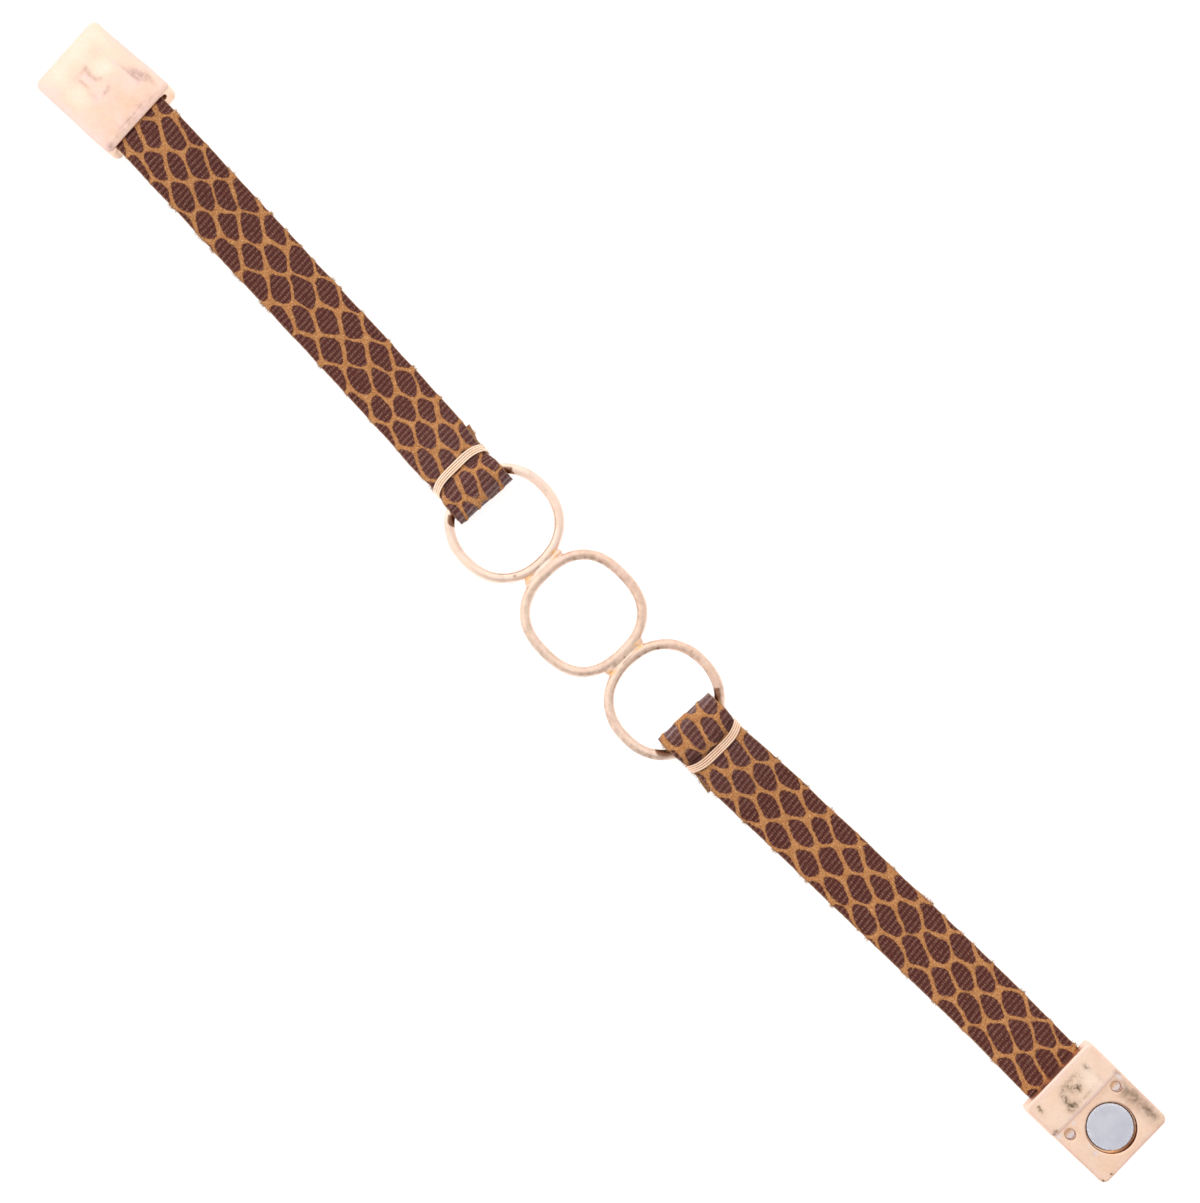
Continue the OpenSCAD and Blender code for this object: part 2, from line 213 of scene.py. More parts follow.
class Wiring:
    """Short calls that add nodes to the tree of a material or world. They return output sockets."""

    def __init__(self, owner, last="Principled BSDF"):
        owner.use_nodes = True
        self.owner, self.nodes, self.links = owner, owner.node_tree.nodes, owner.node_tree.links
        self.last = self.nodes[last]

    def feed(self, node, inputs):
        """Fill a node's inputs. What goes in is a socket, a number, a colour or a vector."""
        for key, given in inputs.items():
            socket = node.inputs[key]
            if isinstance(given, bpy.types.NodeSocket):
                self.links.new(given, socket)
            else:
                socket.default_value = (*given, 1) if socket.type == "RGBA" else given

    def finish(self, inputs):
        self.feed(self.last, inputs)
        return self.owner

    def add(self, kind, output, inputs={}, **settings):
        node = self.nodes.new("ShaderNode" + kind)
        for key, setting in settings.items():
            setattr(node, key, setting)
        self.feed(node, inputs)
        return node.outputs[output]

    def value(self, key):
        """A value that the mesh holds at its points."""
        return self.add("Attribute", "Fac", attribute_name=key)

    def math(self, kind, a, b=0.0, clamp=False):
        return self.add("Math", 0, {0: a, 1: b}, operation=kind, use_clamp=clamp)

    def times(self, a, b, clamp=False):
        return self.math("MULTIPLY", a, b, clamp)

    def plus(self, a, b):
        return self.math("ADD", a, b)

    def fit(self, value, start, end, low=0.0, high=1.0, smooth=False):
        """Goes from low to high while the value goes from start to end."""
        inputs = {"Value": value, "From Min": start, "From Max": end, "To Min": low, "To Max": high}
        return self.add("MapRange", "Result", inputs, interpolation_type="SMOOTHSTEP" if smooth else "LINEAR")

    def noise(self, where, scale, detail=2.0):
        return self.add("TexNoise", "Fac", {"Vector": where, "Scale": scale, "Detail": detail})

    def patches(self, where, scale, detail, low, high):
        """Uneven tone from low to high."""
        return self.fit(self.noise(where, scale, detail), 0.3, 0.7, low, high)

    def mixed(self, amount, a, b):
        return self.add("Mix", 2, {0: amount, 6: a, 7: b}, data_type="RGBA")

    def layered(self, colour, layers):
        """The colour after each layer, given as its amount and its own colour, is laid over it."""
        for amount, over in layers:
            colour = self.mixed(amount, colour, over)
        return colour

    def bump(self, height, strength, distance):
        return self.add("Bump", "Normal", {"Height": height, "Strength": strength, "Distance": distance})


def rose_gold(name, tint, yellow, rough, rim=(1.0, 0.9, 0.86), grain=1.0):
    """Plated metal: pale rose gold in uneven tones, with films, tarnish, glue, solder and bare places, and
    with painted highlights, reflections and shade laid on through the same layers.
    """
    tree = Wiring(bpy.data.materials.new(name))
    where = tree.add("TexCoord", "Object")

    def noise(scale, detail, low, high):
        return tree.patches(where, scale, detail, low, high)

    def uneven(key, scale, detail, low, high):
        return tree.times(tree.value(key), noise(scale, detail, low, high))

    speckle = uneven("tarnish", 3000, 6, 0.05, 1.75)
    plate = tree.layered(tree.mixed(noise(420, 4, 0.0, 1.0), tint, yellow), [
        (uneven("cream", 600, 4, 0.7, 1.2), (0.985, 0.81, 0.68)),
        (uneven("peach", 800, 4, 0.6, 1.3), (0.89, 0.575, 0.42)),
        (uneven("blush", 700, 4, 0.5, 1.3), (0.95, 0.665, 0.6)),
        (uneven("dull", 1600, 5, 0.4, 1.5), (0.33, 0.225, 0.165)),
        (noise(3800, 5, -0.1 * grain, 0.16 * grain), (0.6, 0.4, 0.3)),
        (speckle, (0.15, 0.112, 0.068)),
        (uneven("brown", 2500, 4, 0.6, 1.2), (0.24, 0.105, 0.06)),
        (uneven("solder", 1500, 3, 0.5, 1.2), (0.95, 0.5, 0.2)),
        (uneven("bare", 3000, 4, 0.6, 1.2), (0.8, 0.775, 0.81)),
    ])
    height = tree.plus(noise(2600, 5, 0, 0.6), noise(9000, 3, 0, 0.35))
    return tree.finish({
        "Metallic": 1.0,
        "Base Color": plate,
        "Specular Tint": rim,
        "Roughness": tree.plus(noise(900, 5, rough, rough + 0.12), tree.times(speckle, 0.35)),
        "Normal": tree.bump(height, 0.26 * grain, 0.00006),
    })


casting_gold = rose_gold("rose gold casting", (0.94, 0.665, 0.5), (0.97, 0.745, 0.585), 0.26)


def turned(degrees, axis):
    return Matrix.Rotation(math.radians(degrees), 4, axis)


inner_place = Matrix.Translation((0.08624, 0.00125, 0)) @ turned(1.8, "Z") @ turned(-2, "Y")
# The outer half is also turned over
outer_place = (
    Matrix.Translation((-0.0913, 0.00254, 0)) @ turned(3.9, "Z") @ turned(-4, "Y")
    @ Matrix.Translation((SOCKET_L / 1000, 0, SOCKET_T / 1000)) @ turned(180, "Y")
)

# x, y and half length of each dimple
hammer_dimples = [(10.65, 0.7, 0.4), (9.5, 0.2, 0.4), (7.9, 0.1, 0.35), (9.7, -1.2, 0.45), (6.1, -0.35, 0.3)]


def hammered(x, y):
    """Depth of the hammer marks on the outer half: broad hollows, one long crease and a few dimples."""
    depth = 0.05 + 0.045 * swell(x, y, 3.6, 11) + 0.012 * swell(x, y, 1.5, 12)
    along = (x - 5.9) * 0.98 - (y - 3.9) * 0.21
    off = (x - 5.9) * 0.21 + (y - 3.9) * 0.98
    depth = depth + 0.09 * np.exp(-((off / 0.5) ** 2)) * ramp(along, 2.5, 0.5) * ramp(along, -5, -3)
    depth = depth - 0.05 * spot(x, y, (8.3, 0.0), (2.4, 2.6))
    for px, py, size in hammer_dimples:
        depth = depth + 0.035 * spot(x, y, (px, py), (size, size * 0.8))
    return np.maximum(depth, 0)


def worn(x, y):
    """Depth of the shallow wear on the inner half's outside."""
    return 0.03 + 0.02 * swell(x, y, 3.6, 11)


# Rows of places: x, y, half length, half width, strength
crease = [
    (5.3, 4.15, 0.7, 0.45, 0.24), (4.1, 4.5, 0.9, 0.55, 0.26), (2.7, 4.85, 1.0, 0.35, 0.18),
    (6.4, 3.7, 1.0, 0.25, 0.14), (4.7, 3.75, 0.9, 0.2, 0.24), (3.4, 5.2, 0.7, 0.2, 0.14),
    (3.2, -0.5, 3.0, 5.0, 0.035), (4.4, 4.2, 2.0, 1.0, 0.1), (8.0, -2.2, 4.0, 4.5, 0.025),
]
dimples = [
    (10.5, 0.4, 0.5, 0.32, 0.44), (9.6, 0.05, 0.55, 0.34, 0.52), (8.6, 0.15, 0.45, 0.32, 0.48),
    (8.0, 0.55, 0.35, 0.35, 0.32), (6.15, -0.25, 0.26, 0.5, 0.58), (9.3, -1.4, 1.0, 0.26, 0.38),
    (6.4, 0.55, 0.26, 0.35, 0.34), (10.5, -0.5, 0.3, 0.5, 0.28), (7.3, -1.75, 0.8, 0.3, 0.16),
]
# Streaks on the lip, with painted shade along its curved band and at its lower corner
lip_marks = [
    (1.25, -1.2, 0.14, 1.9, 0.26), (1.35, 1.9, 0.16, 1.0, 0.2), (1.0, 3.4, 0.18, 0.8, 0.14),
    (0.7, -5.2, 0.7, 0.45, 0.42), (1.0, -3.6, 0.14, 0.7, 0.16), (1.4, -0.3, 0.6, 4.2, 0.2),
    (0.8, -0.5, 0.24, 4.8, 0.18),
]
# Painted shadows at the corners of the slot's mouth
mouth_corners = [(0.2, -5.3, 0.4, 0.4, 0.5), (0.3, 5.3, 0.4, 0.3, 0.2)]
# Painted highlights, pale cream, on the two domes of the hammered face, along its far end and near one long
# edge
domes = [
    (8.9, 2.0, 1.7, 1.2, 0.95), (8.4, -3.0, 1.9, 1.3, 0.95), (13.2, 0.5, 1.4, 5.0, 0.75),
    (10.8, 4.4, 2.4, 0.9, 0.4),
]
warm = [
    (4.4, -1.6, 2.2, 2.6, 0.58), (5.2, 1.8, 2.0, 1.6, 0.48), (3.0, -4.4, 2.6, 1.0, 0.58),
    (2.0, 1.0, 1.3, 4.0, 0.62), (1.1, -0.3, 0.6, 4.6, 0.5), (10.6, -1.6, 1.2, 1.4, 0.32),
    (11.0, 2.4, 0.9, 1.1, 0.3), (8.0, -5.0, 3.0, 0.6, 0.35),
]
# Pink places: uneven tone, and painted shade along the rounded edges
pink = [
    (8.6, 3.35, 2.2, 0.3, 0.85), (9.2, -0.4, 1.6, 0.9, 0.6), (7.2, -5.6, 7.5, 0.5, 1.0),
    (0.9, 0, 0.6, 7, 0.25), (6.3, 0.2, 0.4, 1.8, 0.6), (11.6, -5.0, 1.8, 0.8, 0.5),
    (4.8, 4.2, 1.8, 0.8, 0.55), (7, 6.0, 8, 0.3, 0.7), (14.3, 0, 0.25, 6, 0.7),
    (7.3, -1.9, 1.6, 0.8, 0.35),
]
points, faces = skin_of(lambda x, y, z: clasp_body(x, y, z, True, hammered), CAST_LOW, CAST_HIGH, CAST_STEP)
x, y, z = points.T
face = z < 0.6
# Pink tone with painted edge shade, taken away under the painted highlights
blushing = 0.4 + 0.2 * swell(x, y, 2.0, 26) + places(x, y, pink) - places(x, y, domes)
piece(
    "outer_clasp_casting", points, faces, casting_gold, "outer_clasp", "rose_gold_casting",
    outer_place,
    cream=face * places(x, y, domes),
    peach=face * (0.14 * (x < 11) + places(x, y, warm)),
    blush=face * unit(blushing),
    dull=face * places(x, y, crease + dimples + lip_marks) + (z > 1.2) * places(x, y, mouth_corners),
    tarnish=0.45 * face * places(x, y, crease),
    # The pocket's wall painted brown: glue, and painted shade in the recess
    brown=0.9 * ((np.hypot(x - POCKET_X, y) < POCKET_R + 0.03) & (z > POCKET_FLOOR - 0.1)),
)

# Pale places on the socket, with painted highlights along its rims and the step's top edge
socket_pale = [
    (0.6, 0, 0.4, 6.5, 0.5), (5.1, 0, 0.2, 6.0, 0.8), (3, 5.1, 3, 0.6, 0.6),
    (3.6, -3.2, 1.8, 1.4, 0.5), (3.6, 2.9, 1.8, 1.4, 0.95),
]
tongue_pale = [(11.6, 3.0, 2.2, 1.6, 0.25), (11, -4.8, 3.5, 0.7, 0.25)]
tongue_end = [(14.2, 0, 0.8, 6, 0.1)]
# Painted shade, pink, along the rounded edges of the socket and the tongue
socket_pink = [(5.25, 0, 0.3, 7, 0.6), (0.4, 0, 0.4, 7, 0.6), (3, 5.7, 4, 0.3, 0.5), (3, -5.7, 4, 0.3, 0.5)]
tongue_pink = [(14.3, 0, 0.35, 7, 0.6), (10, -5.7, 5, 0.35, 0.5), (10, 5.8, 5, 0.25, 0.4)]
socket_film = [
    (3.0, -0.2, 1.2, 1.6, 0.16), (2.2, 3.2, 0.8, 0.5, 0.12), (3.9, -1.4, 0.9, 0.8, 0.14),
    (2.0, -4.6, 0.9, 0.4, 0.14),
]
# Duller places on the tongue, most along one long edge
tongue_film = [
    (9.6, 4.9, 3.0, 0.85, 0.68), (8.2, 4.2, 1.8, 0.9, 0.26), (12.4, 4.8, 1.5, 0.8, 0.4),
    (6.1, 2.6, 0.35, 1.0, 0.12), (14.0, 2.5, 0.4, 2.5, 0.1), (10.6, -3.9, 1.0, 0.25, 0.1),
]
socket_marks = [
    (2.0, 3.4, 0.5, 0.3, 0.5), (1.7, 0.9, 0.35, 1.2, 0.4), (3.1, 0.8, 0.55, 0.5, 0.7),
    (2.6, 0.1, 0.6, 0.45, 0.4), (1.9, -0.6, 0.4, 0.6, 0.4), (2.6, -1.3, 0.55, 0.5, 0.45),
    (3.5, -1.5, 0.65, 0.4, 0.6), (4.3, -1.2, 0.45, 0.55, 0.85), (4.4, -2.0, 0.45, 0.4, 0.45),
    (4.5, 0.6, 0.25, 1.4, 0.25), (4.2, 3.6, 0.7, 0.25, 0.2), (2.4, 1.9, 0.4, 0.5, 0.25),
    (1.3, -4.5, 0.28, 0.2, 0.8), (1.8, -4.7, 0.28, 0.18, 0.8), (5.0, -5.4, 0.36, 0.5, 0.65),
    (5.1, 5.6, 0.3, 0.3, 0.35),
]
tongue_marks = [
    (9.0, 5.05, 1.9, 0.45, 0.22), (12.0, 5.1, 1.1, 0.36, 0.18), (11.0, -5.85, 3.5, 0.12, 0.25),
    (14.0, -4.3, 0.16, 0.18, 0.9), (13.9, -5.6, 0.4, 0.16, 0.6), (5.9, 5.7, 0.35, 0.25, 0.4),
    (8.3, 4.6, 0.5, 0.3, 0.12), (11.0, 4.7, 0.7, 0.3, 0.1),
]
step_specks = [(5.75, -1.2, 0.12, 0.2, 0.5), (5.7, -0.6, 0.1, 0.16, 0.5), (5.75, 0.2, 0.1, 0.12, 0.3)]
silver = [
    (6.2, 5.4, 0.45, 0.22, 0.9), (6.1, -2.9, 0.28, 0.22, 0.8), (5.8, -5.55, 0.42, 0.24, 0.9),
    (9.5, -3.6, 0.3, 0.12, 0.6), (10.75, -3.8, 0.34, 0.18, 0.8), (6.0, -5.1, 0.2, 0.3, 0.5),
    (7.5, 4.9, 0.3, 0.15, 0.5),
]
points, faces = skin_of(lambda x, y, z: clasp_body(x, y, z, False, worn), CAST_LOW, CAST_HIGH, CAST_STEP)
x, y, z = points.T
top = z > SOCKET_T - 0.5
level = (z > TONGUE_T - 0.3) & ~top
turn = np.degrees(np.arctan2(y, x - POCKET_X))
in_pocket = (np.hypot(x - POCKET_X, y) < POCKET_R + 0.02) & (z < TONGUE_T - 0.05) & (z > 0.3)
in_hole = np.hypot(x - HOLE_X, np.abs(y) - PEG_Y) < 0.8
# Painted light in the peg holes: the near wall and floor painted in golden brown shadow, the far wall painted
# lit, pale as bare metal
in_depth = in_hole * (z < TONGUE_T - 0.12) * (z > 0.3)
round_holes = level * ~in_hole
hole_side = unit((x - HOLE_X) / 0.5 + 0.35)
# Glue and painted shade darken the pocket's wall, most towards the tongue's end, but for one painted glint
# where the wall shines
glint = np.exp(-(((turn + 50) / 20) ** 2))
glue_dark = (0.26 + 0.7 * unit(np.cos(np.radians(turn - 15)))) * (1 - 0.9 * glint)
piece(
    "inner_clasp_casting", points, faces, casting_gold, "inner_clasp", "rose_gold_casting",
    inner_place,
    cream=top * places(x, y, socket_pale) + level * places(x, y, tongue_pale),
    peach=top * (0.16 + 0.18 * swell(x, y, 2.4, 23))
    + level * (0.32 + 0.18 * swell(x, y, 2.8, 24) + places(x, y, tongue_end)),
    # Painted pink shade along the edges and at the foot of the step
    blush=unit(
        top * places(x, y, socket_pink) + level * (0.5 * (x < SOCKET_L + 0.4) + places(x, y, tongue_pink))
    ),
    dull=top * places(x, y, socket_film) + round_holes * places(x, y, tongue_film),
    tarnish=top * places(x, y, socket_marks) + round_holes * places(x, y, tongue_marks),
    # Glue and painted shade in the pocket, painted shadow in the peg holes, and specks at the step
    brown=unit(
        in_pocket * glue_dark + 0.62 * in_depth * (1 - hole_side) + level * places(x, y, step_specks)
    ),
    # Golden painted shadow in the peg holes, and a painted glint in the pocket
    solder=0.45 * in_depth * (1 - hole_side) + in_pocket * (0.15 + 0.75 * glint),
    # Bare places, and the peg holes' far walls painted lit
    bare=round_holes * places(x, y, silver) + in_depth * hole_side * 0.8,
)

# ---------------------------------------------------------------- magnets
# Bare 6 mm disc magnets with satin nickel plate, glued into the pockets of the two halves.
# The inner one sits a little to one side of its pocket.

MAGNET_LOW, MAGNET_HIGH, MAGNET_BEVEL, MAGNET_SIDES = 0.75, 1.95, 0.13, 128


def joined(count, around):
    """Faces between `count` rings of `around` points each, closed at both ends."""
    last = (count - 1) * around
    sides = [(i + j, i + (j + 1) % around) for i in range(0, last, around) for j in range(around)]
    ends = [tuple(reversed(range(around))), tuple(range(last, last + around))]
    return [(a, b, b + around, a + around) for a, b in sides] + ends


def satin_nickel():
    """Bluish grey plate, a little cloudy and fine-grained, with small painted highlights round the rim."""
    tree = Wiring(bpy.data.materials.new("satin nickel"))
    where = tree.add("TexCoord", "Object")
    grain = tree.noise(where, 6000)
    cloud = tree.fit(tree.noise(where, 500, 5), 0.35, 0.65)
    chips = tree.times(tree.value("rim"), tree.fit(grain, 0.5, 0.62))
    plate = tree.mixed(cloud, (0.555, 0.565, 0.645), (0.635, 0.64, 0.705))
    return tree.finish({
        "Metallic": 1.0,
        "Base Color": tree.mixed(chips, plate, (0.86, 0.86, 0.92)),
        "Roughness": 0.42,
        "Normal": tree.bump(grain, 0.25, 0.00004),
    })


nickel = satin_nickel()
bevel = [(MAGNET_BEVEL * math.cos(a), MAGNET_BEVEL * math.sin(a)) for a in np.linspace(0, math.pi / 2, 6)]
low_edge = [(MAGNET_R - MAGNET_BEVEL + c, MAGNET_LOW + MAGNET_BEVEL - s) for c, s in bevel][::-1]
high_edge = [(MAGNET_R - MAGNET_BEVEL + c, MAGNET_HIGH - MAGNET_BEVEL + s) for c, s in bevel]
underside = [(r, MAGNET_LOW) for r in (0.4, 2.0)]
face = [(r, MAGNET_HIGH) for r in (2.6, 2.0, 1.2, 0.4)]
profile = underside + low_edge + high_edge + face
angles = np.linspace(0, 2 * math.pi, MAGNET_SIDES, endpoint=False)
points = np.array([(r * math.cos(a), r * math.sin(a), h) for r, h in profile for a in angles])
faces = joined(len(profile), MAGNET_SIDES)
rim = ramp(np.hypot(points[:, 0], points[:, 1]), 2.5, 2.85)
for name, place, aside in ("outer_magnet", outer_place, 0.0), ("inner_magnet", inner_place, MAGNET_ASIDE):
    piece(
        name + "_disc", points + (POCKET_X + aside, 0, 0), faces, nickel, name, "nickel_magnet",
        place, rim=rim,
    )

# ---------------------------------------------------------------- straps
# Bands of tan suede, 9 mm wide and 1 mm thick, with brown scales pressed on in a finely ribbed
# film. Each runs from its clasp slot, down to the table, up over a ring's wire, round it, and
# back underneath, where the binding wire holds it. The cut edges are raw.

STRAP_HALF, STRAP_THICK, STRAP_ROUND, STRAP_STEP, PINCH = 4.5, 1.0, 0.18, 0.12, 0.5
RIB_PITCH, RIB_LEAN, THREAD_PITCH, ROW_PITCH, SCALE_SQUASH = 0.7, 0.079, 0.34, 2.15, 1.6
RING_Z, FOLD_R, TAIL_Z, OVER_Z, CINCH_Z, FLAT_Z = 2.085, 1.25, 0.86, 3.36, 2.0, 0.5
PRINT_POINTS, FLESH_POINTS, EDGE_POINTS = 73, 19, 8
TUFTS, TUFT_HAIRS, EDGE_HAIRS, OTHER_HAIRS = 30, 12, 260, 50

# Columns: x, y, z of the middle of the leather, turn, width lost, bow at the edges
outer_route = [
    (-90.1, 2.66, 2.9, -1.3, 0, 0), (-86.1, 2.57, 3.18, -1.2, 0, 0), (-82.0, 2.5, 3.2, -1.2, 0, 0),
    (-77.0, 2.42, 2.62, -1.3, 0, 0), (-70.0, 2.25, 1.46, -1.4, 0, 0), (-62.0, 2.04, 0.68, -1.5, 0, 0),
    (-54.0, 1.83, FLAT_Z, -1.6, 0, 0), (-45.5, 1.6, FLAT_Z, -1.7, 0, 0),
    (-37.5, 1.37, FLAT_Z + 0.06, -2.0, 0, 0), (-32.0, 1.16, 1.16, -2.4, 0, 0),
    (-28.0, 0.95, 1.84, -2.8, 0.2, 0.3), (-25.3, 0.79, CINCH_Z - 0.03, -2.9, 1, 0.7),
    (-23.25, 0.68, CINCH_Z + 0.02, -2.9, 1, 0.9), (-22.75, 0.64, CINCH_Z + 0.38, -2.9, 0.5, 1.2),
    (-22.2, 0.61, OVER_Z - 0.32, -2.9, 0.1, 1.4), (-21.4, 0.56, OVER_Z + 0.02, -2.9, 0, 1.3),
    (-20.6, 0.51, OVER_Z, -2.9, 0, 0.9),
]
inner_route = [
    (90.1, 1.37, 1.33, 1.8, 0, 0), (86.1, 1.25, 1.19, 1.5, 0, 0), (83.0, 1.19, 1.05, 1.0, 0, 0),
    (79.0, 1.17, 0.74, 1.2, 0, 0), (74.5, 1.11, 0.53, 1.4, 0, 0), (68.0, 0.96, FLAT_Z, 1.9, 0, 0),
    (60.0, 0.68, FLAT_Z, 2.1, 0, 0), (52.0, 0.38, FLAT_Z, 2.3, 0, 0), (44.5, 0.1, FLAT_Z, 2.3, 0, 0),
    (38.8, -0.12, FLAT_Z + 0.08, 2.4, 0, 0), (34.0, -0.33, 1.12, 2.4, 0, 0),
    (30.1, -0.53, 1.8, 1.9, 0.2, 0.3), (27.5, -0.65, CINCH_Z - 0.03, 0.9, 1, 0.7),
    (25.75, -0.71, CINCH_Z + 0.02, 0, 1, 0.9), (25.4, -0.73, CINCH_Z + 0.4, -0.4, 0.6, 1.0),
    (24.9, -0.75, OVER_Z - 0.29, -0.8, 0.3, 1.1), (24.1, -0.77, OVER_Z + 0.03, -1.2, 0, 1.0),
    (23.2, -0.78, OVER_Z, -1.4, 0, 0.7),
]


def strap_path(route, fold, tail, side):
    """Even steps along the middle of the leather: x, y, z, turn, width lost, bow."""
    (fold_x, fold_y, fold_turn), (tail_x, tail_y, tail_turn, tail_bow) = fold, tail
    r = np.array(route, dtype=float)
    last = len(r) - 1
    rows = []
    for i in range(last):
        a, b, c, d = r[max(i - 1, 0)], r[i], r[i + 1], r[min(i + 2, last)]
        for t in np.arange(0, 1, 1 / 60):
            rows.append(b + t * (c - a + t * (2 * a - 5 * b + 4 * c - d + t * (3 * (b - c) + d - a))) / 2)
    for a in np.radians(np.linspace(90, -90, 120)):
        x, z = fold_x + side * FOLD_R * math.cos(a), RING_Z + FOLD_R * math.sin(a)
        rows.append([x, fold_y, z, fold_turn, 0, 0])
    for s in np.linspace(0, 1, 200)[1:]:
        y = fold_y + s**3 * (tail_y - fold_y) + s * (1 - s) * tail_bow
        pinched = np.interp(s, (0.25, 0.35, 0.72, 0.82), (0.3, 1, 1, 0.3))
        turn = fold_turn + s**3 * (tail_turn - fold_turn)
        rows.append([fold_x + s * (tail_x - fold_x), y, TAIL_Z, turn, pinched, 0])
    rows = np.array(rows)
    rows[:, 2] = np.maximum(rows[:, 2], FLAT_Z)
    run = np.r_[0, np.cumsum(np.linalg.norm(np.diff(rows[:, :3], axis=0), axis=1))]
    keep = np.r_[True, np.diff(run) > 1e-6]
    run, rows = run[keep], rows[keep]
    at = np.arange(0, run[-1], STRAP_STEP)
    even = np.stack([np.interp(at, run, rows[:, k]) for k in range(6)], 1)
    soft = np.hanning(7)[1:-1] / np.hanning(7)[1:-1].sum()
    for k in range(6):
        even[2:-2, k] = np.convolve(even[:, k], soft, "valid")
    return at, even


def leaning(along, across, lean):
    """The same offset measured along and across a scale that leans."""
    c, s = math.cos(lean), math.sin(lean)
    return along * c + across * s, across * c - along * s


def scale_print(along, across, rule, seed):
    """Distance in millimetres inside (+) or outside (-) the nearest printed scale."""
    rng = np.random.default_rng(seed)
    wavy_along = along + 0.14 * swell(along, across, 2.4, seed + 7)
    wavy_across = across + 0.09 * swell(along, across, 2.0, seed + 8)
    column_at, run_at, line_at = np.array(rule["columns"]).T
    middles, sizes, leans = [], [], []
    for row in range(-4, 6):
        for column in range(-3, 21):
            shift = rule["shift"] + rule["sway"] * (column - 6) ** 2
            u = np.interp(column, column_at, run_at) + row * shift
            w = np.interp(column, column_at, line_at) - row * ROW_PITCH
            middles.append((u + rng.normal(0, 0.26), w + rng.normal(0, 0.15)))
            sizes.append(rng.uniform(0.16, 0.31))
            leans.append(math.radians(rule["lean"]) * (1 - 0.45 * min(1, max(0, (column - 8) / 4))))
    best = np.full(along.shape, 1e9)
    near = np.zeros(along.shape, dtype=int)
    # A scale is longer than it is wide and leans, so nearness is measured on a leaning grid
    for k, ((u, w), lean) in enumerate(zip(middles, leans)):
        long, wide = leaning(wavy_along - u, wavy_across - w, lean)
        d = (long / SCALE_SQUASH) ** 2 + wide**2
        closer = d < best
        best[closer], near[closer] = d[closer], k
    inside = np.full(along.shape, 3.0)
    for k in np.unique(near):
        mine = near == k
        (u, w), lean = middles[k], leans[k]
        long, wide = leaning(wavy_along[mine] - u, wavy_across[mine] - w, lean)
        for m, (other_u, other_w) in enumerate(middles):
            gap_u, gap_w = other_u - u, other_w - w
            if m == k or abs(gap_u) > 9 or abs(gap_w) > 4.5:
                continue
            # The edge between two scales is where both are equally near
            gap_long, gap_wide = leaning(gap_u, gap_w, lean)
            pull = gap_long / SCALE_SQUASH**2
            size = math.hypot(pull, gap_wide)
            gap = ((gap_long / 2 - long) * pull + (gap_wide / 2 - wide) * gap_wide) / size
            # Scales draw out to points and come close where they meet end to end
            inside[mine] = blend_min(inside[mine], gap + 0.08 * (pull / size) ** 2, 0.72)
        inside[mine] -= sizes[k]
    return inside + 0.07 * swell(along, across, 1.5, seed + 9) + 0.02 * swell(along, across, 0.45, seed + 10)


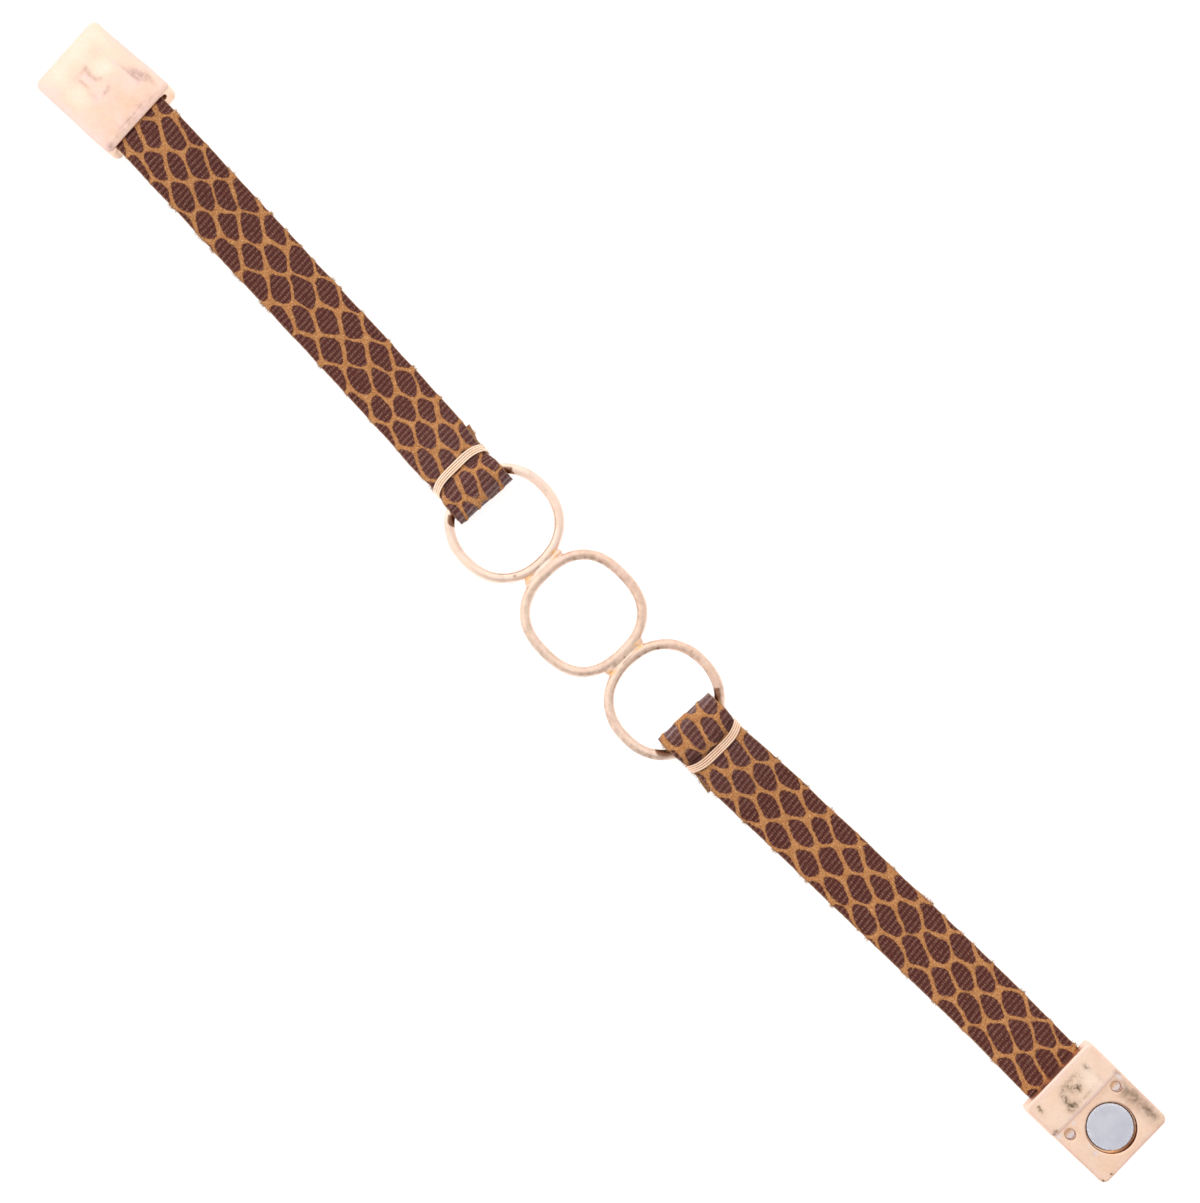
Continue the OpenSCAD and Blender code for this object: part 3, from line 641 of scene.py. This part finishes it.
def ribbed_scale_leather():
    """Tan suede under a brown printed film with ribs across the strap. Its UV map is in millimetres."""
    tree = Wiring(bpy.data.materials.new("snake print leather"))
    strap_map = tree.add("UVMap", "UV", uv_map="strap")

    def noise(size, detail, low, high, stretch=(1, 1)):
        """Uneven tone whose patches are about `size` millimetres, from low to high."""
        scale = (stretch[0] / size, stretch[1] / size, 1)
        where = tree.add("Mapping", "Vector", {"Vector": strap_map, "Scale": scale})
        return tree.patches(where, 1, detail, low, high)

    def wave(at, wander, pitch):
        return tree.math("SINE", tree.times(tree.plus(at, wander), 2 * math.pi / pitch))

    # Where the film is: the print's edge, made slightly ragged
    edge = tree.plus(tree.value("scale"), noise(0.3, 5, -0.09, 0.09))
    film = tree.fit(edge, -0.04, 0.06, smooth=True)
    # Ribs across the strap, with painted highlights in broken dashes where they would catch the light, and
    # fine threads along it
    rib_wave = wave(tree.value("rib"), noise(1.8, 2, -0.07, 0.07), RIB_PITCH)
    rib = tree.fit(rib_wave, 0.05, 0.95, smooth=True)
    thread_wave = wave(tree.add("SeparateXYZ", 1, {0: strap_map}), noise(0.8, 3, -0.06, 0.06), THREAD_PITCH)
    thread = tree.fit(thread_wave, -0.7, 0.8, smooth=True)
    dash = tree.times(tree.plus(tree.times(thread, 0.8), 0.2), noise(0.42, 5, -0.45, 1.85, (1.4, 0.8)), True)
    scuffed = tree.plus(tree.times(rib, 0.9), noise(0.4, 4, 0.1, 0.8))
    brown = tree.layered(tree.mixed(noise(2.2, 4, 0.0, 1.0), (0.082, 0.015, 0.01), (0.122, 0.03, 0.018)), [
        (noise(0.4, 3, -0.5, 0.55), (0.17, 0.055, 0.022)),
        (noise(0.45, 3, -0.6, 0.5, (1.3, 0.9)), (0.105, 0.018, 0.024)),
        # Painted highlights in dashes on the ribs
        (tree.times(rib, dash), (0.235, 0.128, 0.092)),
        (noise(0.2, 4, -0.8, 0.82), (0.22, 0.112, 0.086)),
        (tree.fit(rib_wave, 0.1, -0.8, 0.0, 0.52, smooth=True), (0.044, 0.006, 0.0052)),
        (tree.fit(thread_wave, -0.2, -1.0, 0.0, 0.46, smooth=True), (0.046, 0.0068, 0.0058)),
        (noise(0.18, 4, -0.6, 0.74, (1.0, 1.3)), (0.03, 0.004, 0.0036)),
        # Painted sheen, pale grey, near the fold
        (tree.times(tree.value("scuff"), scuffed), (0.3, 0.205, 0.205)),
    ])
    tan = tree.layered(tree.mixed(noise(1.1, 4, 0.0, 1.0), (0.39, 0.158, 0.054), (0.53, 0.24, 0.092)), [
        (noise(0.26, 5, -0.5, 0.9), (0.27, 0.098, 0.03)),
        (noise(0.19, 4, -0.9, 0.85, (0.7, 1.2)), (0.655, 0.372, 0.174)),
        (noise(0.3, 2, -2.2, 0.6), (0.74, 0.47, 0.25)),
        # Painted shade: the suede darker along the print's edge, where it stands above the pressed scales
        (tree.times(tree.fit(edge, -0.13, 0.0, smooth=True), 0.38), (0.22, 0.078, 0.024)),
    ])
    raw = tree.mixed(noise(0.25, 4, 0.0, 1.0), (0.24, 0.105, 0.045), (0.44, 0.235, 0.115))
    fibrous = tree.mixed(tree.value("fibre"), tree.mixed(film, tan, brown), (0.66, 0.41, 0.2))
    ribs_high = tree.times(tree.plus(rib_wave, tree.times(thread, 0.6)), film)
    nap_high = tree.times(noise(0.16, 4, 0, 2.2), tree.math("SUBTRACT", 1.0, film))
    return tree.finish({
        "Base Color": tree.mixed(tree.value("cut"), fibrous, raw),
        "Roughness": tree.math("SUBTRACT", 0.92, tree.times(film, 0.5)),
        "Specular IOR Level": 0.16,
        "Sheen Weight": 0.22,
        "Sheen Roughness": 0.22,
        "Sheen Tint": (0.86, 0.78, 0.86),
        "Normal": tree.bump(tree.plus(ribs_high, nap_high), 0.7, 0.00005),
    })


def strap_section():
    """Round the band's section: how far across, how high, and 1 where the leather is bare."""
    c, flat, half_t = STRAP_ROUND, STRAP_HALF - STRAP_ROUND, STRAP_THICK / 2
    turn = np.radians([60, 30, 0])
    section = [(t * flat, half_t, 0.0) for t in np.linspace(-1, 1, PRINT_POINTS)]
    edge = [(flat + c * math.cos(a), half_t - c + c * math.sin(a), 0.5) for a in turn]
    edge += [(STRAP_HALF, 0.15, 1.0), (STRAP_HALF, -0.15, 1.0)]
    edge += [(flat + c * math.cos(a), -half_t + c - c * math.sin(a), 1.0) for a in turn[::-1]]
    section += edge + [(t * flat, -half_t, 1.0) for t in np.linspace(1, -1, FLESH_POINTS)]
    return np.array(section + [(-w, h, bare) for w, h, bare in edge[::-1]])


def loose_fibres(points, printed, ahead, wide, up, rng):
    """Tufts of fibres that stand out where the suede lines reach the cut edges: points, faces, roots."""
    n, m = len(ahead), len(points) // len(ahead)
    hairs, faces, roots = [], [], []
    in_tufts = TUFTS * TUFT_HAIRS
    # Side, first point of the cut edge in the section, and the print's last point before it
    for way, first, brink in ((1, PRINT_POINTS + 1, PRINT_POINTS - 1), (-1, m - EDGE_POINTS + 1, 0)):
        suede = np.flatnonzero(printed[4:-4, brink] < 0) + 4
        tufts = rng.choice(suede, TUFTS)
        starts = np.repeat(tufts, TUFT_HAIRS) + rng.normal(0, 1.5, in_tufts)
        starts = np.r_[starts, rng.choice(suede, EDGE_HAIRS), rng.uniform(4, n - 4, OTHER_HAIRS)]
        for number, t in enumerate(starts):
            long = number < in_tufts
            i = int(np.clip(t, 4, n - 5))
            root = i * m + first + rng.integers(0, 5)
            out = way * wide[i] + 0.9 * rng.normal(0, 0.5) * ahead[i] + rng.normal(0.12, 0.35) * up[i]
            out /= np.linalg.norm(out)
            bend = 0.5 * (rng.normal(0, 0.5) * ahead[i] + rng.normal(0, 0.3) * up[i])
            reach = rng.uniform(0.08, 0.44) if long else rng.uniform(0.04, 0.15)
            thin = rng.uniform(0.02, 0.036) if long else rng.uniform(0.016, 0.026)
            side_way = np.cross(out, up[i])
            # A fibre is a three-sided tapering tube of two lengths
            start = len(points) + len(hairs)
            for grow in (-0.1, 0.5, 1.0):
                middle = points[root] + out * reach * grow + bend * reach * max(grow, 0) ** 2
                width = thin * (1 - 0.6 * max(grow, 0))
                for a in (0, 2 * math.pi / 3, 4 * math.pi / 3):
                    hairs.append(middle + width * (math.cos(a) * side_way + math.sin(a) * up[i]))
                roots += [root] * 3
            for low in (start, start + 3):
                faces += [[low + q, low + (q + 1) % 3, low + (q + 1) % 3 + 3, low + q + 3] for q in range(3)]
            faces += [[start + 2, start + 1, start], [start + 6, start + 7, start + 8]]
    hairs = np.array(hairs)
    hairs[:, 2] = np.maximum(hairs[:, 2], 0.0)
    return hairs, faces, roots


def strap(name, route, fold, tail, side, rule, seed):
    """The band as one closed skin, its print side finely meshed, its flesh side coarser."""
    at, rows = strap_path(route, fold, tail, side)
    rng = np.random.default_rng(seed)
    lost, bow = rows[:, 4:5], rows[:, 5:6]
    ahead = np.gradient(rows[:, :3], axis=0)
    ahead /= np.linalg.norm(ahead, axis=1)[:, None]
    heading = np.radians(rows[:, 3])
    forward = side * np.stack([np.cos(heading), np.sin(heading), 0 * heading], 1)
    wide = np.stack([-forward[:, 1], forward[:, 0], forward[:, 2]], 1)
    up = np.cross(ahead, wide)
    up /= np.linalg.norm(up, axis=1)[:, None]
    across, high, bare = strap_section().T
    n, m = len(at), len(across)
    bowed = bow * (across / STRAP_HALF) ** 2
    s = at[:, None] + 0.8 * bowed
    w = across * (1 - (PINCH / 2 / STRAP_HALF) * lost)
    h = np.broadcast_to(high, (n, m)).copy()
    # The blade wandered a little along each cut edge
    reach = unit(np.abs(across) / STRAP_HALF * 3 - 2)
    waver = np.where(across > 0, swell(s, s * 0, 4.0, seed + 1), swell(s, s * 0, 4.0, seed + 2))
    w = w + np.sign(across) * reach * (0.045 * waver + 0.015 * swell(s, h * 9, 0.5, seed + 3))
    inside = np.full((n, m), -1.0)
    inside[:, bare < 0.75] = scale_print(s[:, bare < 0.75], w[:, bare < 0.75] * side, rule, seed)
    # The suede stands a little proud of the pressed scales
    pressed = 1 / (1 + np.exp(-inside / 0.05))
    at_edge = np.where(across > 0, pressed[:, PRINT_POINTS - 1 : PRINT_POINTS], pressed[:, 0:1])
    w = w + np.sign(across) * np.where(np.abs(across) > 4.2, 0.03, 0) * (1 - at_edge)
    # The film is painted with a sheen: a little paler where it bends up to the ring, and pale grey round the
    # fold, where it would catch the light
    bend_start = at[np.argmax(rows[:, 2] >= OVER_Z - 0.01)]
    fold_at = bend_start + abs(fold[0] - route[-1][0]) + math.pi / 2 * FOLD_R
    near_fold = unit(1 - np.abs(at - fold_at) / 1.3)[:, None]
    scuff = np.broadcast_to(0.1 * ramp(at[:, None], fold_at - 15, fold_at - 9) + 0.46 * near_fold**2, (n, m))
    h += np.where(bare < 0.25, (0.03 - 0.07 * pressed) * (1 + 3 * near_fold), 0)
    h += np.where(bare < 0.25, 0.02 * swell(s, w, 1.4, seed + 4), 0.02 * swell(s, w, 0.8, seed + 5))
    skin = rows[:, None, :3] + w[..., None] * wide[:, None] + h[..., None] * up[:, None]
    skin += bowed[..., None] * forward[:, None]
    points = skin.reshape(-1, 3)
    points[:, 2] = np.maximum(points[:, 2], 0.0)
    i, j = np.meshgrid(np.arange(n - 1), np.arange(m), indexing="ij")
    k = (j + 1) % m
    faces = np.stack([i * m + j, (i + 1) * m + j, (i + 1) * m + k, i * m + k], -1).reshape(-1, 4)
    if side > 0:
        faces = faces[:, ::-1]
    faces = faces.tolist() + [list(range(m)), list(range((n - 1) * m, n * m))[::-1]]
    hairs, hair_faces, roots = loose_fibres(points, inside, ahead, wide, up, rng)
    # Where each point lies on the flat strap, in millimetres along and across
    flat = np.stack([s.ravel(), (w * side).ravel()], 1)
    flat = np.r_[flat, flat[roots] + rng.uniform(-0.3, 0.3, (len(roots), 2))]
    on_hairs = np.zeros(len(roots))
    pale_tip = np.tile((0.35,) * 3 + (0.8,) * 3 + (1.0,) * 3, len(roots) // 9)
    band = piece(
        name, np.r_[points, hairs], faces + hair_faces, leather,
        name.replace("_leather", "_strap"), "snake_print_leather",
        scale=np.r_[inside.ravel(), on_hairs - 0.5],
        cut=np.r_[np.tile(bare, n), on_hairs],
        fibre=np.r_[np.zeros(n * m), pale_tip],
        scuff=np.r_[scuff.ravel(), on_hairs],
        rib=flat[:, 0] + side * RIB_LEAN * flat[:, 1],
    )
    band.data.polygons.foreach_set("use_smooth", [True] * len(faces) + [False] * len(hair_faces))
    layer = band.data.uv_layers.new(name="strap")
    corner_point = np.empty(len(band.data.loops), dtype=int)
    band.data.loops.foreach_get("vertex_index", corner_point)
    layer.data.foreach_set("uv", flat[corner_point].ravel().astype(np.float32))


leather = ribbed_scale_leather()
# Columns of scales: number, how far along the strap, and where the middle row lies across it
outer_rule = {
    "columns": [
        (-3, -8.3, 2.6), (0, 7.9, 2.1), (3, 24.1, 1.3), (6, 40.5, 0.3), (9, 56.1, -0.15), (12, 70.0, -0.3),
        (21, 110, -0.4),
    ],
    "shift": -2.4, "sway": 0.028, "lean": -14,
}
inner_rule = {
    "columns": [
        (-3, -10.3, 0.1), (0, 4.9, 0.3), (3, 20.1, 0.45), (6, 35.8, 1.6), (9, 52.0, 1.45), (12, 66.8, 1.5),
        (21, 111, 1.2),
    ],
    "shift": 2.0, "sway": -0.015, "lean": 14,
}
strap("outer_leather", outer_route, (-19.51, 0.44, -2.9), (-27.4, 1.52, -4.4, 0.5), 1, outer_rule, 41)
strap("inner_leather", inner_route, (21.83, -0.8, -1.7), (29.7, -1.12, -0.6, 0.4), -1, inner_rule, 57)

# ---------------------------------------------------------------- rings
# Three rings of round brass wire, slightly squared where they touch, soldered side by side and
# then plated. The solder fills the narrow places in soft hollows and stays a little yellower.

WIRE_R, WIRE_RIM = 0.675, (0.98, 0.95, 0.94)
# x, y, half length, half width, squareness of each ring's wire
ring_sizes = [
    (-14.23, 0.06, 6.98, 7.05, 2.2),
    (1.48, -0.74, 7.22, 7.2, 2.45),
    (16.92, -1.08, 6.9, 7.1, 2.2),
]
# x, y of each joint, and the side on which a fine seam is left beside the solder
solder_at = [(-6.49, -0.34, -1), (9.37, -0.91, 1)]
# x, y, radius of pits in the wire's upper side
pits = [
    (-8.2, -3.8, 0.17), (-4.4, -3.9, 0.13), (9.42, -0.95, 0.12), (11.6, 3.0, 0.18), (15.0, 5.9, 0.12),
    (-1.9, 5.2, 0.12),
]


def about_ring(x, y, ring):
    """How far points are from a ring's middle, and how far out its wire's middle lies there."""
    cx, cy, a, b, n = ring
    dx, dy = np.abs(x - cx), np.abs(y - cy)
    r = np.hypot(dx, dy) + 1e-9
    return r, ((dx / r / a) ** n + (dy / r / b) ** n) ** (-1 / n)


def rings_field(x, y, z):
    """Distance to the three rings with their solder and pits."""
    body = None
    for k, ring in enumerate(ring_sizes):
        r, wire = about_ring(x, y, ring)
        thick = WIRE_R + 0.022 * swell(x, y, 2.2, 70 + k)
        tube = np.hypot(r - wire, z - RING_Z - 0.02 * swell(x, y, 5.0, 80 + k)) - thick
        body = tube if body is None else blend_min(body, tube, 0.12)
    for cx, cy, seam in solder_at:
        soft = np.where((x - cx) * seam > 0.05, 0.07, 0.34)
        lump = far(x, y, z, (cx - 0.08 * seam, cy, RING_Z), (0.5, 3.0, 0.6))
        body = blend_min(body, (lump - 1) * 0.5, soft)
        for dy in (2.5, -2.5):
            web = far(x, y, z, (cx, cy + dy, RING_Z), (0.55, 0.62, 0.5))
            body = blend_min(body, (web - 1) * 0.5, 0.32)
    for px, py, size in pits:
        body = blend_max(body, size - far(x, y, z, (px, py, RING_Z + WIRE_R + 0.03)), 0.08)
    return body


points, faces = skin_of(rings_field, (-22.3, -9.2, 1.1), (24.8, 8.2, 3.1), 0.1)
x, y, z = points.T
ring_gold = rose_gold("rose gold rings", (0.94, 0.69, 0.535), (0.97, 0.765, 0.61), 0.22, WIRE_RIM, 0.35)
# Which ring a point belongs to, how far inside the wire's middle it is, and where it is round the wire
radii, wires = np.moveaxis([about_ring(x, y, ring) for ring in ring_sizes], 1, 0)
which = np.argmin(np.abs(radii - wires), 0)
r, wire = np.choose(which, radii), np.choose(which, wires)
mid_x, mid_y = (np.choose(which, [ring[k] for ring in ring_sizes]) for k in (0, 1))
inward, bearing = (wire - r) / WIRE_R, np.arctan2(y - mid_y, x - mid_x)
round_wire, round_ring = np.arctan2(z - RING_Z, r - wire) * WIRE_R, bearing * wire
# Fine drawing lines along the wire, and brownish patches, mostly on the inside of the rings
streak = np.clip(swell(round_wire, round_ring * 0.1 + 40 * which, 0.34, 95), -1, 1)
streak = streak * unit(1.6 - 1.6 * np.abs(inward))
film = unit(swell(x, y, 2.2, 96) + 0.1) * unit(0.25 + inward)
# and painted shade on one side of each wire, towards the table's far corner, which grows from the first ring
# to the third
out_x, out_y = -inward * np.cos(bearing), -inward * np.sin(bearing)
shady = unit(0.55 * out_x - 0.83 * out_y + 0.15) * unit(0.75 + 0.5 * swell(x, y, 3.0, 98))


def beside_solder(off, half_w, shift, half_l):
    """Lines on top of the wire beside each joint, on its seam's side."""
    total = 0
    for cx, cy, seam in solder_at:
        line = np.exp(-(((x - cx - off * seam) / half_w) ** 2)) * (z > RING_Z)
        total = total + line * np.exp(-(((y - cy + shift) / half_l) ** 4))
    return total


seams = beside_solder(0.46, 0.09, 0.2, 1.7) * unit(0.7 + swell(x, y, 1.0, 97))
# Painted highlight lines on top of the wire beside each joint
bright = beside_solder(0.25, 0.1, 0, 2.2)
# Painted shadow and reflection of the leather: brown places on the inner side of the wire where it comes out
# of the leather loops
loops = [(-19.4, 5.3, 1.1, 1.0), (-19.3, -4.7, 1.15, 0.6), (21.6, 4.4, 1.2, 1.0), (21.7, -5.8, 1.5, 1.0)]
in_loops = sum(unit((1 - np.hypot((x - px) / rx, (y - py) / ry)) / 0.2) for px, py, rx, ry in loops)
in_loops *= unit((0.4 + inward) / 0.5)
in_pits = sum(0.8 * spot(x, y, (px, py), (size, size * 1.2)) for px, py, size in pits) * (z > RING_Z)
# Yellow ends of the solder: offset on the seam's side, offset along it, half sizes
ends = [(0.45, 2.3, 0.22, 0.6), (0.45, -2.4, 0.22, 0.6), (-0.15, 2.3, 0.16, 0.6), (0.1, -2.7, 0.25, 0.35)]
yellow = [(cx + seam * dx, cy + dy, rx, ry, 0.95) for cx, cy, seam in solder_at for dx, dy, rx, ry in ends]
piece(
    "soldered_rings", points, faces, ring_gold, "ring_trio", "rose_gold_rings",
    peach=0.45 * (which > 0) * unit(0.15 + y / 6),
    # The first ring painted paler, where it is lit, and painted highlight lines beside the joints
    cream=unit(0.35 * (which == 0) * unit(1 - film) + 0.9 * bright),
    # Painted shade: the second and third rings duller, more so towards +y, one side of each wire and by the
    # leather loops, with the drawing lines and brownish patches
    dull=np.clip(
        np.choose(which, (0.05, 0.17, 0.17)) + 0.05 * (which > 0) * unit(y / 6) + 0.08 * streak
        + np.choose(which, (0.06, 0.38, 0.54)) * shady + 0.14 * film + 0.9 * in_loops, 0, 0.85,
    ),
    solder=places(x, y, yellow),
    brown=unit(0.6 * seams + 1.1 * in_loops + in_pits),
    tarnish=0.12 * unit(swell(x, y, 1.3, 90) - 0.5) + 0.35 * in_loops,
    blush=0.16 + 0.26 * unit(swell(x, y, 4.0, 99)),
)

# ---------------------------------------------------------------- wire bindings
# Four close turns of fine plated wire round both layers of each strap, drawn tight so that they
# pinch the leather behind its ring. They bow away from the ring at the edges of the strap.

FINE_R, FINE_PITCH, FINE_TURNS, FINE_BOW, FINE_SIDES = 0.15, 0.298, 4, 0.9, 12
BIND_HALF, BIND_CORNER, BIND_LOW, BIND_HIGH = 4.4, 0.5, FINE_R + 0.02, CINCH_Z + 0.5 + FINE_R + 0.12
fine_gold = rose_gold("rose gold fine wire", (0.975, 0.735, 0.54), (0.99, 0.81, 0.62), 0.24, WIRE_RIM, 0.5)


def binding(name, cx, cy, way, browned, seed):
    rng = np.random.default_rng(seed)
    middle, rise, flat = (BIND_HIGH + BIND_LOW) / 2, (BIND_HIGH - BIND_LOW) / 2, BIND_HALF - BIND_CORNER
    bends = np.radians(np.linspace(-90, 90, 24)[1:-1])
    # Once round, from the middle of the underside
    outline = [(y, BIND_LOW) for y in np.linspace(0, -flat, 15)]
    outline += [(-flat - BIND_CORNER * math.cos(a), middle + rise * math.sin(a)) for a in bends]
    outline += [(y, BIND_HIGH) for y in np.linspace(-flat, flat, 40)]
    outline += [(flat + BIND_CORNER * math.cos(a), middle + rise * math.sin(a)) for a in -bends]
    outline += [(y, BIND_LOW) for y in np.linspace(flat, 0, 15)[:-1]]
    n = len(outline)
    rows = []
    for turn in range(FINE_TURNS):
        slack = rng.normal(0, 1, 4) * (0.006, 0.006, 0.012, 0)
        for k, (y, z) in enumerate(outline):
            # The wire moves on to its next turn underneath
            passed = turn + min(1, k / 14) / 2 + max(0, (k - n + 14) / 14) / 2
            along = (passed - FINE_TURNS / 2) * FINE_PITCH + way * FINE_BOW * (y / BIND_HALF) ** 4
            along += slack[0] * math.sin(y) + slack[1] * math.cos(y * 0.6)
            rows.append((cx + along, cy + y, z + slack[2] * math.cos(y * 0.8)))
    rows = np.array(rows)
    ahead = np.gradient(rows, axis=0)
    ahead /= np.linalg.norm(ahead, axis=1)[:, None]
    out = np.cross(ahead, (1, 0, 0))
    out /= np.linalg.norm(out, axis=1)[:, None]
    aside = np.cross(ahead, out)
    angles = np.linspace(0, 2 * math.pi, FINE_SIDES, endpoint=False)
    spokes = np.cos(angles)[:, None] * out[:, None] + np.sin(angles)[:, None] * aside[:, None]
    points = (rows[:, None] + FINE_R * spokes).reshape(-1, 3)
    # Painted shade darkens the wire between the turns
    between = np.tile(unit((np.abs(np.sin(angles)) - 0.55) / 0.4), len(rows))
    uneven = unit(0.5 + 0.5 * swell(points[:, 1], points[:, 0] * 3, 1.2, seed + 3))
    piece(
        name, points, joined(len(rows), FINE_SIDES), fine_gold,
        name.replace("_wire", ""), "rose_gold_fine_wire",
        dull=between * (0.01 + 0.25 * browned + 0.05 * uneven),
        peach=0.5 * browned + 0 * between,
        cream=0.7 * uneven * (1 - between) * (1 - 0.6 * browned),
        blush=0.3 * between,
    )


# The inner binding's colour is toned down, duller and warmer
binding("outer_binding_wire", -24.05, 0.72, 1, 0.0, 5)
binding("inner_binding_wire", 26.55, -0.72, -1, 1.0, 6)

# ---------------------------------------------------------------- table, light and camera
# A plain white table lit from below in a light tent, brighter on the side of the outer clasp half,
# and a camera straight above.

TABLE_HALF, TABLE_Z = 3, -0.00002
table_mesh = bpy.data.meshes.new("table")
corners = [(a * TABLE_HALF, b * TABLE_HALF, TABLE_Z) for a, b in ((-1, -1), (1, -1), (1, 1), (-1, 1))]
table_mesh.from_pydata(corners, [], [(0, 1, 2, 3)])
table = bpy.data.objects.new("table", table_mesh)
bpy.context.collection.objects.link(table)
white = Wiring(bpy.data.materials.new("white table")).finish({
    "Base Color": (0.36, 0.36, 0.36),
    "Roughness": 0.9,
    "Specular IOR Level": 0.1,
    "Emission Color": (1, 1, 1),
    "Emission Strength": 0.78,
})
table_mesh.materials.append(white)

scene = bpy.context.scene
scene.view_settings.view_transform = "Standard"
world = bpy.data.worlds.new("light tent")
scene.world = world
tent = Wiring(world, "Background")
heading = tent.add("TexCoord", "Generated")
sides = tent.fit(tent.add("SeparateXYZ", "X", {0: heading}), -1, 1, 1.42, 0.78)
height = tent.fit(tent.add("SeparateXYZ", "Z", {0: heading}), -0.05, 0.45, 0.84, 1, smooth=True)
# The duller gap in the tent where the photographer stood, above and to the lower right
beside = tent.add("VectorMath", "Value", {0: heading, 1: (0.52, -0.43, 0.738)}, operation="DOT_PRODUCT")
opening = tent.fit(beside, 0.76, 0.98, 1, 0.8, smooth=True)
strength = tent.times(tent.times(sides, opening), height)
tent.finish({"Color": (1.0, 0.99, 0.985), "Strength": strength})

soft_box = bpy.data.lights.new("soft box", "AREA")
soft_box.shape = "RECTANGLE"
soft_box.size, soft_box.size_y = 0.9, 0.9
soft_box.energy = 9
lamp = bpy.data.objects.new("soft box", soft_box)
lamp.location = (-0.9, 0.7, 1.1)
lamp.rotation_euler = (-Vector(lamp.location)).to_track_quat("-Z", "Y").to_euler()
lamp.visible_glossy = False
bpy.context.collection.objects.link(lamp)

# The camera is rolled so that the bracelet runs from the upper left to the lower right
LENS_PX, FRAME_PX, SENSOR, ROLL = 2262.7, 1200, 36, math.radians(45.6485)
camera_data = bpy.data.cameras.new("camera")
camera_data.sensor_fit = "HORIZONTAL"
camera_data.sensor_width = SENSOR
camera_data.lens = LENS_PX / FRAME_PX * SENSOR
camera_data.clip_start, camera_data.clip_end = 0.01, 20
camera = bpy.data.objects.new("camera", camera_data)
bpy.context.collection.objects.link(camera)
eye, aim = Vector((0.02014, 0.00198, 0.29744)), Vector((0.001788, 0.001862, 0))
ahead = (aim - eye).normalized()
along = Vector((1, 0, 0))
along = (along - along.dot(ahead) * ahead).normalized()
down = ahead.cross(along)
right = math.cos(ROLL) * along - math.sin(ROLL) * down
up = -(math.sin(ROLL) * along + math.cos(ROLL) * down)
camera.matrix_world = Matrix.Translation(eye) @ Matrix((right, up, -ahead)).transposed().to_4x4()
scene.camera = camera
